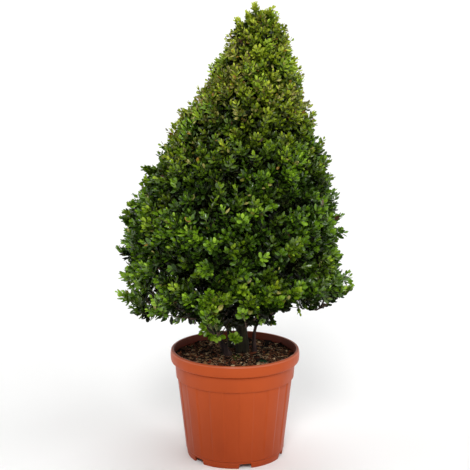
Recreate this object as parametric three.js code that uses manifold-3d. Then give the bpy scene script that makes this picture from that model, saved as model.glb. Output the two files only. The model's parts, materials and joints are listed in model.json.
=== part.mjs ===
// A boxwood bush clipped to a cone, in the round plastic pot that it is sold in.
// Millimetres, +Z up, -Y towards the viewer. The origin is on the floor, under the middle of the pot.
import * as THREE from "three";
import { mergeVertices } from "three/addons/utils/BufferGeometryUtils.js";
import Module from "manifold-3d";

const wasm = await Module();
wasm.setup();

// Driving dimensions.
const POT = {
  height: 237,
  rimRadius: 140,
  rimHeight: 26,
  rimWidth: 8,
  rimRound: 3,
  bandHeight: 35,
  bandRadius: 130,
  bodyTopRadius: 125,
  bodyFootRadius: 107,
  footRadius: 103.6,
  footHeight: 12,
  wall: 2.4,
  floor: 2.6,
  flutes: 12,
  fluteDepth: 1.6,
  notches: 6,
  notchWidth: 29,
  notchTaper: 2.5,
  notchTurn: 12,
  drainHoles: 6,
  drainRadius: 6,
  drainCircle: 62,
  segments: 72,
};
const SOIL = { edge: 221, crest: 228, flatRadius: 52, roughness: 1.6, rings: 5, segments: 28 };
const CROWN = {
  top: 972,
  apex: 1033,
  slope: 0.4386,
  skirtRadius: 250,
  skirtBlend: 56,
  tipFrom: 947,
  tipRounding: 57,
  floorMiddle: 275,
  floorRise: 70,
  leanFrom: 500,
  lean: 0.105,
};
const CORE = { depth: 36, cellGap: 3, floorGap: 26, segments: 20, step: 60, lump: 7 };
const LEAF = { length: 46, width: 0.66, thickness: 0.1, fullest: 0.56, sink: 0.5 };
const SHOOT = { count: 86, radius: 2.8, depth: 19, reach: 8, tuck: 8, spread: 0.3, underShare: 0.5 };
const CLEARANCE = 0.3;
const SHORTEST_EDGE = 0.006;
const CELL_GAP = 0.8;
const BARK_MARGIN = 1.5;
const GOLDEN_ANGLE = Math.PI * (3 - Math.sqrt(5));

// The colours seen in daylight.
const MATERIALS = {
  pot: new THREE.MeshStandardMaterial({ color: 0xc4582f, roughness: 0.5, metalness: 0 }),
  soil: new THREE.MeshStandardMaterial({ color: 0x2e2119, roughness: 1, metalness: 0 }),
  bark: new THREE.MeshStandardMaterial({ color: 0x4d4231, roughness: 0.9, metalness: 0 }),
  foliage: new THREE.MeshStandardMaterial({ color: 0x4d7a22, roughness: 0.5, metalness: 0 }),
};

// Solids and meshes.

function solidOf(geometry) {
  const bare = geometry.clone();
  bare.deleteAttribute("normal");
  bare.deleteAttribute("uv");
  const merged = mergeVertices(bare, 1e-3);
  return new wasm.Manifold(
    new wasm.Mesh({
      numProp: 3,
      vertProperties: merged.attributes.position.array,
      triVerts: new Uint32Array(merged.index.array),
    }),
  );
}

function meshOf(name, solid, material) {
  const { vertProperties, triVerts } = solid.getMesh();
  const geometry = new THREE.BufferGeometry();
  geometry.setAttribute("position", new THREE.BufferAttribute(vertProperties, 3));
  geometry.setIndex(new THREE.BufferAttribute(triVerts, 1));
  const flat = geometry.toNonIndexed();
  flat.computeVertexNormals();
  const mesh = new THREE.Mesh(flat, material);
  mesh.name = name;
  return mesh;
}

// The biggest of a solid's separate pieces: a scrap that a cut leaves behind is dropped.
function wholePiece(solid) {
  return solid.decompose().reduce((best, piece) => (piece.volume() > best.volume() ? piece : best));
}

// True if a solid has no edge so short that its two ends would count as one point.
function withoutSlivers(solid) {
  const { vertProperties, triVerts } = solid.getMesh();
  const corner = (i) => new THREE.Vector3().fromArray(vertProperties, triVerts[i] * 3);
  for (let i = 0; i < triVerts.length; i += 3) {
    const [a, b, c] = [corner(i), corner(i + 1), corner(i + 2)];
    if (Math.min(a.distanceTo(b), b.distanceTo(c), c.distanceTo(a)) < SHORTEST_EDGE) return false;
  }
  return true;
}

// A surface of revolution about Z from a closed outline of [radius, height] points.
function turned(outline, segments) {
  const points = outline.map(([radius, height]) => new THREE.Vector2(radius, height));
  return new THREE.LatheGeometry(points, segments).rotateX(Math.PI / 2);
}

// Moves each vertex to where a rule puts it.
function reshaped(geometry, rule) {
  const position = geometry.attributes.position;
  const point = new THREE.Vector3();
  for (let i = 0; i < position.count; i++) {
    rule(point.fromBufferAttribute(position, i));
    position.setXYZ(i, point.x, point.y, point.z);
  }
  return geometry;
}

// A seeded run of numbers from 0 to 1.
function seeded(seed) {
  let state = (seed * 2654435761) >>> 0;
  return () => {
    state = (state + 0x6d2b79f5) >>> 0;
    let t = Math.imul(state ^ (state >>> 15), 1 | state);
    t = (t + Math.imul(t ^ (t >>> 7), 61 | t)) ^ t;
    return ((t ^ (t >>> 14)) >>> 0) / 4294967296;
  };
}

// The pot: a rim band, a plain band under it, a fluted body, and a foot ring with notches that let water out.

function potOutline() {
  const rimFoot = POT.height - POT.rimHeight;
  const bodyTop = rimFoot - POT.bandHeight;
  const rimInside = POT.rimRadius - POT.rimWidth;
  return [
    [0, POT.footHeight],
    [POT.footRadius - 5, POT.footHeight],
    [POT.footRadius - 4, 0],
    [POT.footRadius, 0],
    [POT.bodyFootRadius, POT.footHeight + 4],
    [POT.bodyTopRadius, bodyTop],
    [POT.bandRadius - 2.5, bodyTop],
    [POT.bandRadius, rimFoot],
    [POT.rimRadius - 0.6, rimFoot],
    [POT.rimRadius, POT.height - POT.rimRound],
    [POT.rimRadius - POT.rimRound, POT.height],
    [rimInside, POT.height - 1],
    [POT.bandRadius - POT.wall, rimFoot - 3],
    [POT.bodyTopRadius - POT.wall, bodyTop],
    [POT.bodyFootRadius - POT.wall, POT.footHeight + POT.floor],
    [0, POT.footHeight + POT.floor],
  ];
}

// How deep the body's outside is pressed in at an angle: flutes with flat lands between them.
function fluteAt(angle) {
  const wave = 0.5 + 0.5 * Math.cos(angle * POT.flutes);
  return POT.fluteDepth * THREE.MathUtils.smoothstep(wave, 0.3, 0.7);
}

function makePot() {
  const shell = reshaped(turned(potOutline(), POT.segments), (p) => {
    const radius = Math.hypot(p.x, p.y);
    const onFluting = [POT.bodyFootRadius, POT.bodyTopRadius].some((body) => Math.abs(radius - body) < 0.01);
    if (!onFluting) return;
    const pressed = (radius - fluteAt(Math.atan2(p.y, p.x))) / radius;
    p.set(p.x * pressed, p.y * pressed, p.z);
  });
  let pot = solidOf(shell);
  for (let i = 0; i < POT.notches; i++) {
    const angle = THREE.MathUtils.degToRad(POT.notchTurn - 90 + (i * 360) / POT.notches);
    pot = pot.subtract(notchTool(angle));
  }
  for (let i = 0; i < POT.drainHoles; i++) {
    const angle = (i * 2 * Math.PI) / POT.drainHoles;
    const hole = new THREE.CylinderGeometry(POT.drainRadius, POT.drainRadius, 4 * POT.floor, 8);
    hole.rotateX(Math.PI / 2);
    hole.translate(POT.drainCircle * Math.cos(angle), POT.drainCircle * Math.sin(angle), POT.footHeight);
    pot = pot.subtract(solidOf(hole));
  }
  return pot;
}

// A notch through the foot ring, wider at the floor than at its top.
function notchTool(angle) {
  const foot = POT.notchWidth / 2;
  const top = foot - POT.notchTaper;
  const corners = [
    [-foot, -1],
    [foot, -1],
    [top, POT.footHeight - 1],
    [-top, POT.footHeight - 1],
  ];
  const side = new THREE.Shape(corners.map((corner) => new THREE.Vector2(...corner)));
  const depth = 4 * POT.footHeight;
  const tool = new THREE.ExtrudeGeometry(side, { depth, bevelEnabled: false });
  tool.translate(0, 0, -depth / 2).rotateX(Math.PI / 2).rotateZ(Math.PI / 2);
  return solidOf(tool.translate(POT.footRadius, 0, 0).rotateZ(angle));
}

// The potting soil fills the pot, with a low crest round the stems.

function makeSoil() {
  const bodyTop = POT.height - POT.rimHeight - POT.bandHeight;
  const inset = POT.wall + 2 * CLEARANCE;
  const outline = [
    [0, POT.footHeight + POT.floor + CLEARANCE],
    [POT.bodyFootRadius - inset - 3, POT.footHeight + POT.floor + CLEARANCE],
    [POT.bodyTopRadius - inset, bodyTop],
    [POT.bandRadius - inset, POT.height - POT.rimHeight - 4],
    [POT.bandRadius - inset, SOIL.edge],
  ];
  for (let ring = SOIL.rings - 1; ring > 0; ring--) {
    const radius = THREE.MathUtils.lerp(SOIL.flatRadius, POT.bandRadius - inset, ring / SOIL.rings);
    const rise = THREE.MathUtils.smoothstep(ring, 0, SOIL.rings);
    outline.push([radius, THREE.MathUtils.lerp(SOIL.crest, SOIL.edge, rise)]);
  }
  outline.push([SOIL.flatRadius, SOIL.crest], [0, SOIL.crest]);
  const bumpy = reshaped(turned(outline, SOIL.segments), (p) => {
    const radius = Math.hypot(p.x, p.y);
    if (p.z < SOIL.edge || radius < SOIL.flatRadius + 1) return;
    p.z += SOIL.roughness * Math.sin(p.x * 0.21 + 1) * Math.sin(p.y * 0.19 + p.x * 0.05);
  });
  return solidOf(bumpy);
}

// Limbs: the trunk and the side stems. Each path starts on the soil.

const ON_SOIL = SOIL.crest + CLEARANCE;
const LIMBS = {
  trunk: {
    path: [
      [17, 4, ON_SOIL],
      [14, 5, 275],
      [8, 5, 350],
      [5, 2, 460],
      [13, -2, 600],
      [28, 2, 745],
      [37, 0, 850],
    ],
    footRadius: 12.5,
    tipRadius: 3.2,
    flare: 4.5,
    sides: 8,
    steps: 11,
  },
  stem_left: {
    path: [
      [-15, -24, ON_SOIL],
      [-37, -26, 267],
      [-57, -23, 291],
      [-74, -19, 310],
    ],
    footRadius: 6.5,
    tipRadius: 3.6,
    flare: 2.5,
    sides: 7,
    steps: 8,
  },
  stem_right: {
    path: [
      [42, -2, ON_SOIL],
      [41, -2, 262],
      [46, -2, 288],
      [56, -1, 308],
    ],
    footRadius: 4.2,
    tipRadius: 2.8,
    flare: 1.5,
    sides: 7,
    steps: 8,
  },
  stem_back: {
    path: [
      [-8, 29, ON_SOIL],
      [-14, 42, 268],
      [-22, 52, 290],
      [-34, 65, 310],
    ],
    footRadius: 6,
    tipRadius: 3.4,
    flare: 2.2,
    sides: 7,
    steps: 8,
  },
};
for (const limb of Object.values(LIMBS)) {
  limb.curve = new THREE.CatmullRomCurve3(limb.path.map((p) => new THREE.Vector3(...p)));
}

const FLARE_HEIGHT = 16;

function limbRadius(limb, share, height) {
  const taper = THREE.MathUtils.lerp(limb.footRadius, limb.tipRadius, Math.pow(share, 0.8));
  return taper + limb.flare * Math.exp(-height / FLARE_HEIGHT);
}

// A closed limb: a cylinder bent along its curve and tapered, with its foot cut level on the soil.
function makeLimb(limb, extra = 0) {
  const straight = new THREE.CylinderGeometry(1, 1, 1, limb.sides, limb.steps);
  const up = new THREE.Vector3(0, 0, 1);
  const bent = reshaped(straight.rotateX(Math.PI / 2), (p) => {
    const share = Math.pow(p.z + 0.5, 1.3);
    const centre = limb.curve.getPointAt(share);
    const along = share === 0 ? up : limb.curve.getTangentAt(share);
    const radius = limbRadius(limb, share, centre.z - ON_SOIL) + extra;
    p.set(p.x * radius, p.y * radius, 0);
    p.applyQuaternion(new THREE.Quaternion().setFromUnitVectors(up, along)).add(centre);
  });
  return solidOf(bent);
}

// True if a point is in a limb or almost touches its bark.
const LIMB_SAMPLES = Object.values(LIMBS).flatMap((limb) =>
  Array.from({ length: 41 }, (_, i) => {
    const centre = limb.curve.getPointAt(i / 40);
    return { centre, radius: limbRadius(limb, i / 40, centre.z - ON_SOIL) };
  }),
);

// The middle of the trunk at a height, or the trunk's tip above it.
function trunkAt(z) {
  const samples = Array.from({ length: 101 }, (_, i) => LIMBS.trunk.curve.getPointAt(i / 100));
  const nearest = samples.reduce((best, p) => (Math.abs(p.z - z) < Math.abs(best.z - z) ? p : best));
  return nearest.setZ(z);
}

function nearLimb(point) {
  return LIMB_SAMPLES.some(({ centre, radius }) => centre.distanceTo(point) < radius + BARK_MARGIN);
}

// The clipped crown: a cone with a rounded tip and a skirt that turns in, leaning a little to the right.

function crownAxis(z) {
  return CROWN.lean * Math.max(0, z - CROWN.leanFrom);
}

function crownRadius(z) {
  const cone = CROWN.slope * (CROWN.apex - z);
  const mix = THREE.MathUtils.clamp(0.5 + (CROWN.skirtRadius - cone) / (2 * CROWN.skirtBlend), 0, 1);
  const side = THREE.MathUtils.lerp(CROWN.skirtRadius, cone, mix) - CROWN.skirtBlend * mix * (1 - mix);
  return z < CROWN.tipFrom ? side : Math.sqrt(CROWN.tipRounding * Math.max(0, CROWN.top - z));
}

function crownFloor(radius) {
  return CROWN.floorMiddle + CROWN.floorRise * Math.pow(radius / CROWN.skirtRadius, 2);
}

function insideCrown(point, allowance) {
  const radius = Math.hypot(point.x - crownAxis(point.z), point.y);
  const below = point.z - allowance;
  return radius < crownRadius(below) + allowance && point.z > crownFloor(radius) - allowance;
}

// The outline from the middle of the underside, out along the floor and up the side to the tip.
function crownOutline(step) {
  const outline = [];
  const hemRadius = CROWN.skirtRadius - 8;
  for (let radius = 0; radius < hemRadius; radius += step) outline.push([radius, crownFloor(radius)]);
  for (let z = crownFloor(hemRadius) + 2; z < CROWN.top; z += step) outline.push([crownRadius(z), z]);
  outline.push([0, CROWN.top]);
  return outline;
}

// Places for shoots, spread evenly over the crown's surface and sparser underneath, each a golden angle on
// from the last, with the way that the surface faces there.
function crownTargets(count) {
  const outline = crownOutline(4);
  const weights = [0];
  for (let i = 1; i < outline.length; i++) {
    const [[r0, z0], [r1, z1]] = [outline[i - 1], outline[i]];
    const under = r1 > r0 && z1 < crownFloor(CROWN.skirtRadius);
    const weight = (r0 + r1) * Math.hypot(r1 - r0, z1 - z0) * (under ? SHOOT.underShare : 1);
    weights.push(weights[i - 1] + weight / sizeAt(z1) ** 1.4);
  }
  const total = weights[weights.length - 1];
  const tip = new THREE.Vector3(crownAxis(CROWN.top), 0, CROWN.top);
  const spread = Array.from({ length: count }, (_, i) => {
    const at = weights.findIndex((weight) => weight >= ((i + 0.5) / count) * total);
    const [[r0, z0], [r1, z1]] = [outline[at - 1], outline[at]];
    const angle = i * GOLDEN_ANGLE;
    const [x, y] = [Math.cos(angle), Math.sin(angle)];
    const facing = new THREE.Vector3(x * (z1 - z0), y * (z1 - z0), r0 - r1).normalize();
    return { point: new THREE.Vector3(crownAxis(z1) + r1 * x, r1 * y, z1), facing };
  });
  return [{ point: tip, facing: new THREE.Vector3(0, 0, 1) }, ...spread];
}

// The masses of foliage: tiers round the trunk. A mass's own space is what lies nearer its centre than any
// other mass's, and the spaces of a tier meet on the trunk.

const TIERS = [
  { name: "skirt", z: 368, count: 6, turn: 0 },
  { name: "lower", z: 500, count: 5, turn: 36 },
  { name: "middle", z: 632, count: 4, turn: 45 },
  { name: "upper", z: 762, count: 3, turn: 30 },
  { name: "tip", z: 890, count: 1, turn: 0 },
];
const SIDES = ["right", "back_right", "back", "back_left", "left", "front_left", "front", "front_right"];
const CENTRE_SHARE = 0.56;
const STEM = { drop: 42, footRadius: 5, tipRadius: 3.4 };
const LIMB_OF = {
  foliage_skirt_left: "stem_left",
  foliage_skirt_right: "stem_right",
  foliage_skirt_back_left: "stem_back",
};

const UNEVEN = { radius: 8, degrees: 8, height: 8 };
const uneven = seeded(23);
const MASSES = TIERS.flatMap((tier) =>
  Array.from({ length: tier.count }, (_, i) => {
    const degrees = tier.turn + (i * 360) / tier.count;
    const side = tier.count > 1 ? "_" + SIDES[Math.round(degrees / 45) % 8] : "";
    const angle = THREE.MathUtils.degToRad(degrees + UNEVEN.degrees * (uneven() - 0.5));
    const middle = tier.count > 1 ? CENTRE_SHARE * crownRadius(tier.z) : 0;
    const radius = middle + UNEVEN.radius * (uneven() - 0.5);
    const z = tier.z + UNEVEN.height * (uneven() - 0.5);
    const centre = trunkAt(z).add(new THREE.Vector3(radius * Math.cos(angle), radius * Math.sin(angle), 0));
    return { name: "foliage_" + tier.name + side, centre };
  }),
);
for (const mass of MASSES) {
  mass.walls = MASSES.filter((other) => other !== mass).map((other) => {
    const normal = other.centre.clone().sub(mass.centre);
    const distance = normal.length() / 2;
    return { normal: normal.normalize(), distance };
  });
}

// How far a point is inside a mass's own space: the least distance to the walls round it.
function depthInCell(point, mass) {
  const from = point.clone().sub(mass.centre);
  return Math.min(...mass.walls.map(({ normal, distance }) => distance - from.dot(normal)));
}

function coreRadius(z) {
  return Math.max(0, crownRadius(z) - CORE.depth * sizeAt(z));
}

function coreTop() {
  return CROWN.top - CORE.depth * sizeAt(CROWN.top);
}

// The inside of the crown that every core is cut from.
function coreBody() {
  const outline = [];
  const hem = crownFloor(coreRadius(CROWN.leanFrom)) + CORE.floorGap;
  for (let radius = 0; radius < coreRadius(hem); radius += CORE.step) {
    outline.push([radius, crownFloor(radius) + CORE.floorGap]);
  }
  for (let z = hem; z < coreTop(); z += CORE.step) outline.push([coreRadius(z), z]);
  outline.push([0, coreTop()]);
  return solidOf(
    reshaped(turned(outline, CORE.segments), (p) => {
      const radius = Math.hypot(p.x, p.y);
      const lump = radius > 1 ? CORE.lump * lumpAt(Math.atan2(p.y, p.x), p.z) : 0;
      const grown = 1 + (lump * sizeAt(p.z)) / Math.max(radius, 1);
      p.set(p.x * grown + crownAxis(p.z), p.y * grown, p.z);
    }),
  );
}

// Gentle lumps in the core's outside, from -1 to 1.
function lumpAt(angle, z) {
  return Math.sin(7 * angle + z / 31) * Math.cos(z / 24 - 3 * angle);
}

function insideCore(point, mass, depth) {
  const radius = Math.hypot(point.x - crownAxis(point.z), point.y);
  const clearOfWalls = depthInCell(point, mass) > CORE.cellGap + depth;
  const clearOfFloor = point.z > crownFloor(radius) + CORE.floorGap + depth;
  const belowTop = point.z < coreTop() - depth;
  return clearOfWalls && clearOfFloor && belowTop && radius < coreRadius(point.z) - depth;
}

// Cuts a solid back from the walls that its mass shares with the neighbours.
function keptInCell(solid, mass, gap) {
  const turn = new THREE.Quaternion();
  const forward = new THREE.Vector3(0, 0, 1);
  return mass.walls.reduce((kept, { normal, distance }) => {
    const block = new THREE.BoxGeometry(CROWN.top, CROWN.top, CROWN.top);
    block.applyQuaternion(turn.setFromUnitVectors(forward, normal));
    const away = distance - gap + CROWN.top / 2;
    block.translate(...mass.centre.clone().addScaledVector(normal, away).toArray());
    return kept.subtract(solidOf(block));
  }, solid);
}

// A straight three-sided twig.
function twig(from, to, footRadius, tipRadius) {
  const along = to.clone().sub(from);
  const geometry = new THREE.CylinderGeometry(tipRadius, footRadius, along.length(), 3);
  const turn = new THREE.Quaternion().setFromUnitVectors(new THREE.Vector3(0, 1, 0), along.normalize());
  geometry.applyQuaternion(turn).translate(...from.clone().add(to).multiplyScalar(0.5).toArray());
  return solidOf(geometry);
}

// A leaf with a flat upper face and a shallow keel, widest at the named share of its length. It starts at its
// foot and grows along the first direction, with its upper face to the second.
function leafCorners(foot, along, facing, length) {
  const across = new THREE.Vector3().crossVectors(along, facing);
  const corner = (forward, sideways, up) => {
    const point = foot.clone().addScaledVector(along, forward * length);
    return point.addScaledVector(across, sideways * length).addScaledVector(facing, up * length);
  };
  const [tip, keel] = [corner(1, 0, 0), corner(LEAF.fullest, 0, -LEAF.thickness)];
  const [left, right] = [-0.5, 0.5].map((side) => corner(LEAF.fullest, side * LEAF.width, 0));
  return { foot, tip, left, right, keel };
}

function leafSolid({ foot, tip, left, right, keel }) {
  const upper = [foot, right, left, tip, left, right];
  const under = [foot, left, keel, foot, keel, right, tip, keel, left, tip, right, keel];
  return solidOf(new THREE.BufferGeometry().setFromPoints([...upper, ...under]));
}

// Opposite pairs of leaves up a shoot, each pair square to the last, and the last pair nearly closed.
const PAIRS = [
  { below: 15, opening: 78, size: 1 },
  { below: 9, opening: 62, size: 0.95 },
  { below: 3, opening: 36, size: 0.68 },
];

// How far a leaf may roll round its twig to find room, in radians. The furthest rolls take a smaller leaf.
const ROLLS = [
  { nudge: 0, size: 1 },
  { nudge: 0.45, size: 1 },
  { nudge: -0.45, size: 1 },
  { nudge: 0.9, size: 0.8 },
  { nudge: -0.9, size: 0.8 },
];
const OPENING_SPREAD = 10;

// Grows one shoot on what has grown so far: its twig, and the leaves that stay in their space and touch nothing
// older. A leaf that finds no room is skipped.
function growShoot(grown, root, end, scale, random, inSpace) {
  const along = end.clone().sub(root).normalize();
  const aside = new THREE.Vector3(-along.y, along.x, 0.01).cross(along).normalize();
  const start = random() * Math.PI;
  let whole = grown.add(twig(root, end, SHOOT.radius * scale, SHOOT.radius * 0.8 * scale));
  if (!withoutSlivers(whole)) return grown;

  const leafAt = (pair, roll, size) => {
    const out = aside.clone().applyAxisAngle(along, roll);
    const open = THREE.MathUtils.degToRad(pair.opening + OPENING_SPREAD * (random() - 0.5));
    const blade = along.clone().multiplyScalar(Math.cos(open)).addScaledVector(out, Math.sin(open));
    const facing = along.clone().multiplyScalar(Math.sin(open)).addScaledVector(out, -Math.cos(open));
    const node = end.clone().addScaledVector(along, -pair.below * scale);
    const foot = node.addScaledVector(blade, -LEAF.sink * scale);
    return leafCorners(foot, blade, facing, LEAF.length * pair.size * size * scale);
  };

  PAIRS.forEach((pair, order) => {
    for (const half of [0, 1]) {
      for (const { nudge, size } of ROLLS) {
        const leaf = leafAt(pair, start + (order * Math.PI) / 2 + half * Math.PI + nudge, size);
        if (!Object.values(leaf).every(inSpace)) continue;
        const solid = leafSolid(leaf);
        if (!grown.intersect(solid).isEmpty()) continue;
        const joined = whole.add(solid);
        if (!withoutSlivers(joined)) continue;
        whole = joined;
        break;
      }
    }
  });
  return whole;
}

// Leaves and twigs are smaller towards the tip, where the crown is slender.
function sizeAt(z) {
  return THREE.MathUtils.mapLinear(THREE.MathUtils.clamp(z, 600, CROWN.top), 600, CROWN.top, 1, 0.66);
}

// One shoot of a mass: it leaves the core towards its target on the surface, and its leaves end there.
function growTowards(grown, { point: target, facing }, mass, random) {
  const scale = sizeAt(target.z);
  const fromHeart = target.clone().sub(mass.centre).normalize();
  const outward = facing.clone().lerp(fromHeart, SHOOT.spread).normalize();
  const root = target.clone();
  while (!insideCore(root, mass, SHOOT.tuck * scale)) {
    if (root.distanceTo(target) > 3 * CORE.depth) return grown;
    root.addScaledVector(outward, -3);
  }
  const depth = SHOOT.depth - SHOOT.reach * (random() - 0.4);
  const end = target.clone().addScaledVector(outward, -depth * scale);
  if (depthInCell(end, mass) < SHOOT.radius + CELL_GAP) return grown;
  const inSpace = (corner) =>
    depthInCell(corner, mass) > CELL_GAP && insideCrown(corner, SHOOT.reach) && !nearLimb(corner);
  return growShoot(grown, root, end, scale, random, inSpace);
}

// The stem that carries a mass: from the tip of its own limb, or from the side of the trunk.
function makeStem(mass) {
  const limb = LIMBS[LIMB_OF[mass.name] ?? "trunk"];
  let share = 1;
  if (limb === LIMBS.trunk && mass.name !== "foliage_tip") {
    const level = (at) => Math.abs(limb.curve.getPointAt(at).z - (mass.centre.z - STEM.drop));
    const shares = Array.from({ length: 80 }, (_, i) => i / 79);
    share = shares.reduce((best, at) => (level(at) < level(best) ? at : best));
  }
  const from = limb.curve.getPointAt(share);
  const bark = limbRadius(limb, share, from.z - ON_SOIL);
  from.addScaledVector(mass.centre.clone().sub(from).normalize(), 0.6 * bark);
  return keptInCell(twig(from, mass.centre, STEM.footRadius, STEM.tipRadius), mass, CELL_GAP);
}

function makeMass(mass, index, body, targets, limbsWithClearance) {
  const random = seeded(index + 11);
  const own = targets.filter(({ point }) => depthInCell(point, mass) > 0);
  const core = keptInCell(body, mass, CORE.cellGap).add(makeStem(mass));
  const grown = own.reduce((sum, target) => growTowards(sum, target, mass, random), core);
  return wholePiece(limbsWithClearance.reduce((rest, limb) => rest.subtract(limb), grown));
}

// Two low sprays of young leaves hang under the crown, just above the soil. They are open and have no core.

const LOW_SPRAYS = [
  {
    name: "foliage_low_left",
    limb: "stem_left",
    at: 0.42,
    heart: [-58, -50, 266],
    tips: [
      [-80, -60, 262],
      [-62, -82, 256],
      [-46, -64, 250],
    ],
  },
  {
    name: "foliage_low_front",
    limb: "trunk",
    at: 0.05,
    heart: [10, -38, 260],
    tips: [
      [2, -62, 262],
      [26, -54, 258],
    ],
  },
];

const LOW_SCALE = 0.5;
function makeLowSpray({ name, limb, at, heart, tips }, index, limbsWithClearance) {
  const random = seeded(index + 101);
  const middle = new THREE.Vector3(...heart);
  const inSpace = (corner) => {
    const ceiling = crownFloor(Math.hypot(corner.x, corner.y)) - SHOOT.reach - 3;
    return corner.z < ceiling && corner.z > ON_SOIL + 3 && !nearLimb(corner);
  };
  const stem = twig(LIMBS[limb].curve.getPointAt(at), middle, 3, 2.4);
  const joined = tips.reduce(
    (sum, tip) => growShoot(sum, middle, new THREE.Vector3(...tip), LOW_SCALE, random, inSpace),
    stem,
  );
  const cut = limbsWithClearance.reduce((rest, clear) => rest.subtract(clear), joined);
  return { name, solid: wholePiece(cut) };
}

// The whole plant.

const plant = new THREE.Group();
plant.name = "boxwood_cone_topiary";
plant.add(meshOf("pot", makePot(), MATERIALS.pot));
plant.add(meshOf("soil", makeSoil(), MATERIALS.soil));
for (const [name, limb] of Object.entries(LIMBS)) plant.add(meshOf(name, makeLimb(limb), MATERIALS.bark));

const limbsWithClearance = Object.values(LIMBS).map((limb) => makeLimb(limb, CLEARANCE + 0.1));
const targets = crownTargets(SHOOT.count);
const body = coreBody();
MASSES.forEach((mass, index) => {
  const solid = makeMass(mass, index, body, targets, limbsWithClearance);
  plant.add(meshOf(mass.name, solid, MATERIALS.foliage));
});
LOW_SPRAYS.forEach((spray, index) => {
  const { name, solid } = makeLowSpray(spray, index, limbsWithClearance);
  plant.add(meshOf(name, solid, MATERIALS.foliage));
});

export default plant;
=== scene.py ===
"""A boxwood bush clipped to a cone, in its plastic pot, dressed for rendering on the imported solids.

Shapes are in millimetres in the model's own axes, with +Z up and -Y towards the camera. They turn into
metres when a mesh is made.
"""
import json
import math
from types import SimpleNamespace as Named

import bpy
import numpy as np
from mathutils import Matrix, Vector, noise

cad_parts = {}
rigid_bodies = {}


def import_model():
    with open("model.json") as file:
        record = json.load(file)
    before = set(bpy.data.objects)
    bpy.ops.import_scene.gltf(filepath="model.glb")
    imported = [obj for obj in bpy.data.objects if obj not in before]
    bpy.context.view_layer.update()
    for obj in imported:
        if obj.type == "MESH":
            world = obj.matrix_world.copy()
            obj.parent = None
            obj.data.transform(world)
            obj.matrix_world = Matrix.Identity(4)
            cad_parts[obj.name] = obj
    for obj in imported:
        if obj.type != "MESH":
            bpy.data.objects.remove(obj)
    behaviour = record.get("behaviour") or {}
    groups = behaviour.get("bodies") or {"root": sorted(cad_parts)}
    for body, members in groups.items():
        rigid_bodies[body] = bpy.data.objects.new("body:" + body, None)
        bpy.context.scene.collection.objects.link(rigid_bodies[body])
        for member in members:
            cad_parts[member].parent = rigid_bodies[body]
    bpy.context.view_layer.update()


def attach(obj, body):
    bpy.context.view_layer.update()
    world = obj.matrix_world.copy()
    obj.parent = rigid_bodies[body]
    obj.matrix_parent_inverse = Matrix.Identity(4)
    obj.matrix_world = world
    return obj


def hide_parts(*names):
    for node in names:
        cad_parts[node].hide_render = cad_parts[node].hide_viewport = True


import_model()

MM = 0.001
FULL_TURN = 2 * math.pi
GOLDEN_ANGLE = math.pi * (3 - math.sqrt(5))

# Driving dimensions, as in the solids.
POT = Named(
    height=237, wall=2.4, floor=2.6, segments=480,
    rim_radius=140, rim_height=26, rim_width=8, rim_round=4.5, rim_bulge_at=11, rim_taper=1.8,
    groove=2.6, band_height=35, band_radius=130, band_taper=2.5,
    body_top_radius=125, body_foot_radius=107,
    foot_radius=103.6, foot_height=12, foot_ring=4, foot_bead=1.8, bead_height=1.5,
    flutes=12, flute_depth=1.6, flute_turn=-3.4, flute_fade=(4, 34),
    notches=6, notch_width=29, notch_taper=2.5, notch_turn=12,
    drain_holes=6, drain_radius=6, drain_circle=62,
)
SOIL = Named(
    edge=221, crest=228, crest_radius=20.8, radius=128.6, rings=56, segments=220, skirt=30,
)
ON_SOIL = 228.3
FLARE_HEIGHT = 16

# The heights and widths of the soil's lumps, and what lies on it.
LUMPS = [(1.6, 22), (1.5, 8), (0.7, 3)]
CHIP = Named(
    count=2600, shares=(0.42, 0.29, 0.12, 0.13, 0.04), log_length=(1.45, 0.5), lengths=(2, 16),
    width=(0.3, 0.8), height=(0.12, 0.35), uneven=0.2, tilt=0.35, raised=0.3, from_wall=3,
)
FIBRE = Named(
    count=800, steps=6, straw_share=0.45, lengths=(6, 26), bend=1.2, radii=(0.18, 0.42),
    raised=(0.3, 1.8), from_wall=12,
)
FALLEN = Named(
    front=(44, -66, 0), front_length=27, trunk=(0, -40, 0), at_trunk=6, spread=7, about=14,
    from_middle=40, from_wall=14, length=13, raised=(1, 2.5),
)

# The crown's outline. The last four are swellings and hollows: their size, middle and spread.
CROWN = Named(
    top=972, apex=1033, slope=0.4386, skirt_radius=242, skirt_blend=56,
    tip_from=947, tip_rounding=57,
    floor_middle=295, floor_rise=52, floor_edge_rise=16,
    floor_tilt=0.04, floor_lift=0.12, lift_fade=(350, 450),
    lean_from=500, lean=0.105, nod=8, nod_over=(760, 820),
    sway=(5, 500, 150), shoulder=(7, 700, 110), waist=(10, 430, 32), floor_sag=(22, -200, 55),
)

# Places where the photograph shows a tuft of shoots.
TIP_TUFTS = [(38, -6, 971), (76, -4, 963), (60, -4, 954), (25, -6, 953), (3, -6, 939), (52, 14, 952)]
HEM_TUFTS = [(-247, -30, 462), (-247, -34, 369), (244, -30, 374), (252, -28, 380)]
HANGING_TUFTS = [
    (60, -15, 293), (80, -25, 297), (-4, -34, 300), (-20, -40, 304), (-10, -36, 290), (30, -26, 296),
]
OUTLINE_TUFTS = [
    (-190, -15, 632), (-222, -20, 556), (-230, -26, 542), (-238, -20, 528), (208, -15, 556),
    (220, -15, 530), (178, -15, 682), (-111, -15, 750), (-189, -20, 606), (188, -20, 656),
]
FRONT_TUFTS = [
    (-58, -232, 376), (-54, -208, 354), (-40, -204, 349), (-46, -236, 386), (-62, -230, 398),
    (-40, -238, 404), (-52, -238, 418), (16, -238, 380), (15, -240, 428), (91, -225, 405),
    (-97, -222, 406), (125, -208, 416),
]
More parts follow.
